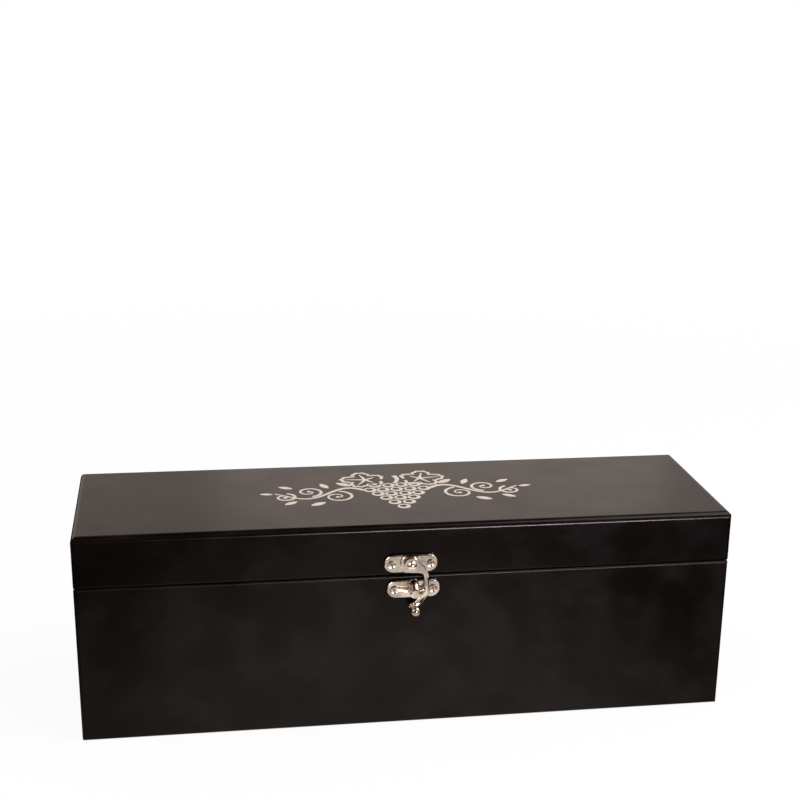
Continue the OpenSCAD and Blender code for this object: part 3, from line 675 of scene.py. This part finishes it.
def wrapped_block(name, node, loop, roll, slack):
    """Carries a closed outline (Y, Z) along X. Where X is roll * (1 - cos t) from either end, the outline is
    drawn in by roll * (1 - sin t), which is a quarter circle. Slack dents the block between its ends."""
    low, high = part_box(node)
    loop = even_steps(loop, LOOP_POINTS)
    tangent = np.roll(loop, -1, 0) - np.roll(loop, 1, 0)
    normal = np.column_stack([tangent[:, 1], -tangent[:, 0]]) / np.linalg.norm(tangent, axis=1, keepdims=True)
    turn = np.linspace(0, math.pi / 2, ROLL_STEPS)
    run = np.linspace(-1, 1, RUN_STEPS)[1:-1]
    middle, reach = (low.x + high.x) / 2, (high.x - low.x) / 2 - roll
    outwards, inwards = roll * (1 - np.cos(turn)), roll * (1 - np.sin(turn))
    x = np.concatenate([low.x + outwards, middle + run * reach, high.x - outwards[::-1]])
    inset = np.concatenate([inwards, slack * (1 - run**2), inwards[::-1]])
    rings = loop[None] - normal[None] * inset[:, None, None]
    points = np.concatenate([np.broadcast_to(x[:, None, None], (*rings.shape[:2], 1)), rings], axis=2)
    rows, columns = rings.shape[:2]
    faces = grid_faces(rows, columns, True).tolist()
    faces += [list(range(columns))[::-1], [(rows - 1) * columns + c for c in range(columns)]]
    return new_piece(name, points.reshape(-1, 3), faces, "case", rest_velvet, [node])


# %% [markdown]
# The bottle's middle lies above the floor of the case by the thickness under it and half its diameter.
# The body rest is a low cradle, and the neck rest a tall block with a narrow notch that is open upwards.

# %% Body rest and neck rest
BODY_RADIUS, NECK_RADIUS, BOTTLE_AXIS = 0.0385, 0.01525, 0.0515
REST_ROLL, REST_SLACK, SHOULDER_CUT = 0.0009, 0.0002, 0.012


def arc(radius, start, end, count):
    """Points round the bottle's axis from one angle to another, in degrees from straight down."""
    a = np.radians(np.linspace(start, end, count))
    return np.column_stack([np.sin(a) * radius, BOTTLE_AXIS - np.cos(a) * radius])


def body_rest_outline():
    """Up the front, over the top edge, down round the bottle, and back along the floor."""
    low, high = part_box("body_rest")
    lip = math.degrees(math.acos((BOTTLE_AXIS - high.z) / BODY_RADIUS))
    cradle = arc(BODY_RADIUS, -lip, lip, 40)
    corners = [(low.y, low.z), (low.y, high.z), *cradle, (high.y, high.z), (high.y, low.z)]
    side = [REST_ROLL, 0.0012, 0.0014]
    return outline(corners, side + [0] * (len(cradle) - 2) + side[::-1])[::-1]


def neck_rest_outline():
    """The same walk, with cut corners at the shoulders and a notch with straight sides."""
    low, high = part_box("neck_rest")
    cut = SHOULDER_CUT
    seat = arc(NECK_RADIUS, -90, 90, 36)
    corners = [(low.y, low.z), (low.y, high.z - cut), (low.y + cut, high.z), (-NECK_RADIUS, high.z), *seat,
               (NECK_RADIUS, high.z), (high.y - cut, high.z), (high.y, high.z - cut), (high.y, low.z)]
    side = [REST_ROLL, 0.003, 0.003, 0.0016]
    return outline(corners, side + [0] * len(seat) + side[::-1])[::-1]


for rest, loop in (("body_rest", body_rest_outline()), ("neck_rest", neck_rest_outline())):
    block = wrapped_block(f"{rest}_velvet", rest, loop, REST_ROLL, REST_SLACK)
    print(block.name, "has", len(block.data.polygons), "faces")

# %% [markdown]
# ## The ornament on the lid
# Lids like this one are screen-printed: a stencil lays one flat coat of pale ink. The ornament is a
# common vine pattern: a bunch of grapes between two leaves, with curling stems to the left and right.
# Everything in it is a stroke, as with a pen: a path with a width at each point. A stroke is a grid of
# two rows on top and two below, so the ink has a real thickness of a few hundredths of a millimetre.
# The drawing is in millimetres, and its heights count layers of ink, until the last step.

# %% Pen strokes
INK_FOOT, INK_THICK = lid_high.z - 0.00002, 0.00007
MILLIMETRE, THINNEST = 0.001, 0.05


def bar_points(left, right):
    """Two lines side by side on top, and the same two below, in rings of four points."""
    ring = np.stack([left, right, right, left], axis=1)
    height = np.broadcast_to(np.array([1, 1, 0, 0.0]), ring.shape[:2])
    return np.concatenate([ring, height[..., None]], axis=2).reshape(-1, 3)


def stroke(path, widths):
    """A flat bar with closed ends: its two lines lie left and right of the path by half its width, along
    the path's own normal."""
    path = np.asarray(path, float)
    tangent = np.gradient(path, axis=0)
    normal = np.column_stack([-tangent[:, 1], tangent[:, 0]])
    normal /= np.maximum(np.linalg.norm(normal, axis=1, keepdims=True), 1e-9)
    half = np.maximum(np.asarray(widths, float), THINNEST)[:, None] / 2
    points = bar_points(path + normal * half, path - normal * half)
    end = len(points)
    faces = grid_faces(len(path), 4, True).tolist()
    return points, faces + [[3, 2, 1, 0], [end - 4, end - 3, end - 2, end - 1]]


def taper(count, thick, thin):
    """The width of a pen that is lifted towards the end."""
    return thick + (thin - thick) * np.linspace(0, 1, count) ** 1.2


# %% [markdown]
# A grape is a ring whose hole sits off its middle, so it looks lit from one side. A vine leaf is a
# closed line whose distance from the stalk swells five times, with a vein to each lobe. A scroll is a
# spiral: its distance from its centre shrinks as it turns.

# %% Grapes, leaves and scrolls
GRAPE_POINTS, GRAPE_RADIUS, GRAPE_PITCH, ROW_DROP, GRAPE_SHAKE = 41, 3.65, 7.7, 7.3, 0.25


def grape(x, y, radius):
    """Two circles, the inner one smaller and moved up and left, joined as a closed band."""
    a = np.linspace(0, 2 * math.pi, GRAPE_POINTS)[:, None]
    rim = np.concatenate([np.cos(a), np.sin(a)], axis=1)
    outer = np.array([x, y]) + rim * radius
    inner = np.array([x - radius * 0.10, y + radius * 0.13]) + rim * radius * 0.54
    return bar_points(outer, inner), grid_faces(GRAPE_POINTS, 4, True)[:, ::-1].tolist()


def leaf(x, y, size, angle, flip=1):
    """Edge: size * (0.60 + 0.40 |cos(2.5 t)|^0.8), with small teeth, and drawn in by a quarter towards the
    stalk. A vein runs from the stalk to each lobe."""
    t = np.linspace(-math.pi * 0.93, math.pi * 0.93, 151)
    edge = size * (0.60 + 0.40 * np.abs(np.cos(2.5 * t)) ** 0.8) * (1 + 0.035 * np.cos(22 * t))
    edge = edge * (1 - 0.25 * (np.abs(t) / math.pi) ** 2)
    turn, centre = math.radians(angle), np.array([x, y])
    spin = np.array([[math.cos(turn), math.sin(turn)], [-math.sin(turn), math.cos(turn)]])
    loop = np.column_stack([np.cos(t) * edge, np.sin(t) * edge * flip]) @ spin + centre
    parts = [stroke(loop, np.full(len(loop), size * 0.13))]
    for lobe in (-2.45, -1.26, 0, 1.26, 2.45):
        far = size * (0.84 if lobe == 0 else 0.72 if abs(lobe) < 2 else 0.5)
        r = np.linspace(0, far, 14)
        bend = lobe * (1 - 0.08 * r / size)
        vein = np.column_stack([np.cos(bend) * r, np.sin(bend) * r * flip]) @ spin + centre
        parts.append(stroke(vein, taper(14, size * 0.14, size * 0.05)))
    return parts


def scroll(x, y, radius, start, turns, thick, flip):
    """A spiral from its outer end inwards: radius * (1 - share)^0.9, ending in a small bud."""
    share = np.linspace(0, 0.93, 70)
    a = math.radians(start) + flip * share * turns * 2 * math.pi
    r = radius * (1 - share) ** 0.9
    path = np.column_stack([x + np.cos(a) * r, y + np.sin(a) * r])
    end = path[-1]
    bud = np.linspace(0, math.pi, 13)
    bud_path = np.column_stack([end[0] + (bud / math.pi - 0.5) * thick * 1.5, np.full(13, end[1])])
    bud_width = np.maximum(np.sin(bud) * thick * 1.5, THINNEST)
    return [stroke(path, taper(70, thick, thick * 0.4)), stroke(bud_path, bud_width)]


def almond(x, y, length, width, angle):
    """A small filled leaf: a straight stroke whose width is a half sine."""
    t = np.linspace(0, 1, 19)
    turn = math.radians(angle)
    path = np.column_stack([x + np.cos(turn) * t * length, y + np.sin(turn) * t * length])
    return [stroke(path, np.maximum(np.sin(t * math.pi) ** 0.8 * width, THINNEST))]


def vine(side):
    """One half of the ornament: a stem that waves outwards, with scrolls and small leaves on both sides."""
    t = np.linspace(0, 1, 90)
    stem = np.column_stack([side * (19 + 50 * t), 9.5 * np.sin(t * math.pi * 2 + 0.5) * (1 - 0.35 * t) + 1])
    parts = [stroke(stem, taper(90, 2.6, 1.1))]
    for x, y, radius, start, turns, flip in (
        (34.5, -4.0, 9.0, 100, 1.6, 1), (50, 5.2, 8.0, -100, 1.55, -1), (64, -2.6, 6.6, 105, 1.5, 1),
    ):
        parts += scroll(side * x, y, radius, start if side > 0 else 180 - start, turns, 1.8, flip * side)
    for x, y, length, width, angle in (
        (25, 13.2, 10.5, 4.6, 38), (42, -13, 10, 4.3, -30), (38.5, 10.5, 9.5, 4.0, 66),
        (57.5, -10, 9, 3.8, -36), (58.5, 11.6, 9, 3.8, 30), (70, 3.2, 7.5, 3.2, 10),
    ):
        parts += almond(side * x, y, length, width, angle if side > 0 else 180 - angle)
    return parts


# %% The whole ornament as one layer of ink
def assemble(parts):
    """Stacks the points of all strokes in one array and moves each stroke's face numbers on to match.
    Each stroke is a hair thicker than the one before, so that no two tops share a plane where they cross."""
    starts = np.cumsum([0] + [len(points) for points, _ in parts]).tolist()
    points = np.concatenate([points * (1, 1, 1 + 0.02 * (k % 20)) for k, (points, _) in enumerate(parts)])
    faces = [[v + start for v in face] for (_, quads), start in zip(parts, starts) for face in quads]
    return points, faces


def grape_bunch():
    """Rows of grapes that get shorter towards the tip, with a small shake so that they don't look ruled."""
    parts = []
    shake = np.random.default_rng(7)
    for row, count in enumerate((4, 5, 4, 3, 2, 1)):
        for k in range(count):
            dx, dy = shake.uniform(-GRAPE_SHAKE, GRAPE_SHAKE, 2)
            x, y = (k - (count - 1) / 2) * GRAPE_PITCH, 12.5 - row * ROW_DROP
            parts.append(grape(x + dx, y + dy, GRAPE_RADIUS))
    return parts


def crown():
    """The stalk above the bunch, with a leaf leaning out on either side."""
    t = np.linspace(0, 1, 24)
    stalk = np.column_stack([2.6 * np.sin(t * 2.6), 15.5 + 14 * t])
    return [stroke(stalk, taper(24, 2.0, 3.0))] + leaf(-16, 23.5, 13.5, 172, -1) + leaf(16, 23.5, 13.5, 8)


ink_points, ink_faces = assemble(grape_bunch() + crown() + vine(1) + vine(-1))
ink_points = ink_points * (MILLIMETRE, MILLIMETRE, INK_THICK) + (0, 0, INK_FOOT)


def printed_ink():
    """Pale warm ink, a little uneven from the screen, with tiny pinholes in its relief."""
    material, tree, shader, where = new_material("pale ink")
    cloud = noise(tree, where, 60, 3, 0.6)
    mesh_marks = noise(tree, where, 1900, 2, 0.5)
    colour = blend_colour(tree, cloud, (0.66, 0.58, 0.50), (0.56, 0.48, 0.41))
    colour = blend_colour(tree, remap(tree, mesh_marks, 0.60, 0.78), colour, (0.40, 0.34, 0.29))
    rough = remap(tree, cloud, 0.3, 0.7, 0.42, 0.58)
    normal = bump(tree, mesh_marks, 0.3, 0.00006)
    fill(tree, shader, {"Base Color": colour, "Roughness": rough, "Normal": normal})
    return material


ornament = new_piece(
    "lid_vine_print", ink_points, ink_faces, "lid", printed_ink(), smooth=False
)
print("ornament:", len(ornament.data.polygons), "faces,", len(ink_points), "points")

# %% [markdown]
# ## The studio
# A black satin box is lit by what it reflects, so the room matters more than the lamps. The box stands on
# a white sheet, and to the camera all around it is white. Mirrors see more of the room than the camera:
# a dark table round the sheet, which makes the ends of a board darker than its middle, warm walls for the
# lid to reflect, and a dark ceiling and a dark wall in front of the box, since polished nickel needs
# something dark to mirror. These belong to the studio and not to the box.

# %% Pieces of the studio
DISC_HOLE, ROUND_POINTS, WALL_RADIUS, WALL_HEIGHT = 0.0001, 96, 3.0, 3.0
TABLE_DARK, CEILING_DARK = (0.03, 0.025, 0.022), (0.04, 0.035, 0.03)
WALL_WARM, WALL_DARK = (0.72, 0.61, 0.565), (0.055, 0.048, 0.042)


def stage_piece(name, points, faces):
    """A mesh of the studio, with a material that has no nodes yet."""
    mesh = bpy.data.meshes.new(name)
    mesh.from_pydata(points.tolist(), [], faces.tolist())
    piece = bpy.data.objects.new(name, mesh)
    bpy.context.scene.collection.objects.link(piece)
    material = bpy.data.materials.new(name)
    material.use_nodes = True
    material.node_tree.nodes.clear()
    mesh.materials.append(material)
    return piece, material.node_tree


def circle(radius, height):
    """Points round the Z axis: radius * (cos a, sin a), at one height."""
    a = np.linspace(0, 2 * math.pi, ROUND_POINTS, endpoint=False)
    return np.column_stack([np.cos(a), np.sin(a), np.zeros(ROUND_POINTS)]) * radius + (0, 0, height)


def disc(name, radius, height):
    """A level disc, made as the band between its rim and a hole too small to see."""
    rings = np.concatenate([circle(DISC_HOLE, height), circle(radius, height)])
    return stage_piece(name, rings, grid_faces(2, ROUND_POINTS, True)[:, ::-1])


def for_mirrors(piece):
    """Only mirrors see this piece. It lights nothing and casts no shadow."""
    piece.visible_camera = piece.visible_diffuse = piece.visible_shadow = False
    return piece


def seen_by_mirrors(tree):
    """1 for what the camera, mirrors and glass see, and 0 for what lights the object."""
    path = place(tree, "ShaderNodeLightPath").outputs
    eye_or_mirror = calc(tree, "MAXIMUM", path["Is Camera Ray"], path["Is Glossy Ray"])
    return calc(tree, "MAXIMUM", eye_or_mirror, path["Is Transmission Ray"])


def far_out(tree, reach, near, far, middle=(0, 0, 0)):
    """0 inside an oval round the middle and 1 outside it; reach stretches the oval along each axis."""
    spot = place(tree, "ShaderNodeTexCoord").outputs["Object"]
    gap = vector_calc(tree, "DIVIDE", vector_calc(tree, "SUBTRACT", spot, middle), reach)
    distance = place(tree, "ShaderNodeVectorMath", {0: gap}, operation="LENGTH").outputs["Value"]
    return remap(tree, distance, near, far)


def glow(tree, colour):
    """Light of one colour, as bright as the colour is written."""
    return place(tree, "ShaderNodeEmission", {"Color": (*colour, 1), "Strength": 1.0}).outputs[0]


def end_with(tree, mask, first, second, kind="ShaderNodeOutputMaterial"):
    """Mixes two shaders by a mask and ends the net with them."""
    mixed = place(tree, "ShaderNodeMixShader", {0: mask, 1: first, 2: second}).outputs[0]
    place(tree, kind, {0: mixed})


# %% Floor, table, ceiling and walls
def studio_floor():
    """A wide disc. To the camera and to mirrors it is mostly plain white, and the rest is a real matt
    surface that takes the shadow; further out the shadow part fades into the white room."""
    floor, tree = disc("floor", 9.0, -0.0002)
    away = far_out(tree, (1, 1, 1), 0.35, 1.3)
    share = plus(tree, 0.92, away, 0.08)
    matt = place(tree, "ShaderNodeBsdfDiffuse", {"Color": (0.9, 0.9, 0.9, 1)}).outputs[0]
    white = glow(tree, (1, 1, 1))
    end_with(tree, times(tree, seen_by_mirrors(tree), share), matt, white)
    return floor


def dark_table():
    """A dark disc with a soft-edged oval hole, where the white sheet shows."""
    table, tree = disc("table round the sheet", 2.6, 0.0004)
    away = far_out(tree, (0.22, 0.38, 1), 0.38, 1.16, (-0.002, 0, 0))
    clear = place(tree, "ShaderNodeBsdfTransparent").outputs[0]
    end_with(tree, away, clear, glow(tree, TABLE_DARK))
    return for_mirrors(table)


def dark_ceiling():
    """The room has no light straight overhead: a dark disc with a soft rim. Its reach along Z is so long
    that its height doesn't count."""
    ceiling, tree = disc("ceiling", 2.4, 1.7)
    away = far_out(tree, (1, 1, 1000), 0.9, 2.2)
    clear = place(tree, "ShaderNodeBsdfTransparent").outputs[0]
    end_with(tree, away, glow(tree, CEILING_DARK), clear)
    return for_mirrors(ceiling)


def card(name, points, faces, colour):
    """An upright card of one colour, seen by mirrors alone."""
    piece, tree = stage_piece(name, points, faces)
    place(tree, "ShaderNodeOutputMaterial", {0: glow(tree, colour)})
    return for_mirrors(piece)


def warm_walls():
    """The walls are a warm off-white: an upright band round the scene."""
    points = np.concatenate([circle(WALL_RADIUS, z) for z in (0.0, WALL_HEIGHT)])
    return card("warm wall", points, grid_faces(2, ROUND_POINTS, True), WALL_WARM)


def dark_wall(width=3.4, height=2.2, spot=(0.0, -2.1, 1.1)):
    """A dark rectangle in front of the box, behind the camera."""
    corners = np.array([[-1, 0, -1], [1, 0, -1], [1, 0, 1], [-1, 0, 1]], float)
    points = corners * (width / 2, 0, height / 2) + spot
    return card("dark wall behind the camera", points, np.array([[0, 1, 2, 3]]), WALL_DARK)


studio = [studio_floor(), dark_table(), dark_ceiling(), warm_walls()]
print("the room so far:", [piece.name for piece in studio])

# %% [markdown]
# ## The lamps
# Four soft lamps light the box. The key and the fill stand high in front, to the right and the left. The
# back lamp brightens the middle of the lid's top. The strip lies low in front and draws the long highlight
# on the rounded edges; it stays below the lid, so that the top never mirrors it. The last two only show
# in reflections and don't add to the plain light.

# %% Room and lamps
def studio_room():
    """White to the camera and to mirrors, and a plain soft light to everything else."""
    world = bpy.data.worlds.new("room")
    bpy.context.scene.world = world
    world.use_nodes = True
    tree = world.node_tree
    tree.nodes.clear()
    soft = place(tree, "ShaderNodeBackground", {"Color": (0.95, 0.96, 1.0, 1), "Strength": 0.62}).outputs[0]
    white = place(tree, "ShaderNodeBackground", {"Color": (1, 1, 1, 1), "Strength": 1.0}).outputs[0]
    end_with(tree, seen_by_mirrors(tree), soft, white, "ShaderNodeOutputWorld")


def softbox(name, spot, target, size, watts, colour):
    """A rectangular lamp at a spot, turned to its target."""
    light = bpy.data.lights.new(name, "AREA")
    light.shape = "RECTANGLE"
    light.size, light.size_y = size
    light.energy, light.color = watts, colour
    lamp = bpy.data.objects.new(name, light)
    bpy.context.scene.collection.objects.link(lamp)
    lamp.location = spot
    lamp.rotation_euler = (Vector(target) - Vector(spot)).to_track_quat("-Z", "Y").to_euler()
    return lamp


studio_room()
softbox("key lamp", (0.75, -0.35, 1.15), (0, 0, 0.05), (1.1, 0.8), 14.0, (1.0, 0.97, 0.93))
softbox("fill lamp", (-0.9, -0.7, 0.9), (0, 0, 0.05), (0.8, 0.8), 4.0, (0.95, 0.97, 1.0))
back_lamp = softbox("back lamp", (0.30, 1.5, 0.66), (0.05, 0, 0.1), (0.72, 0.5), 0.47, (1.0, 0.85, 0.76))
strip_lamp = softbox(
    "strip lamp", (0.37, -1.45, 0.088), (0.08, 0, 0.1), (0.52, 0.05), 20.5, (0.88, 0.845, 1.0)
)
for lamp in (back_lamp, strip_lamp):
    lamp.visible_camera = lamp.visible_diffuse = False
dark_wall()

scene = bpy.context.scene
scene.view_settings.view_transform = "Standard"
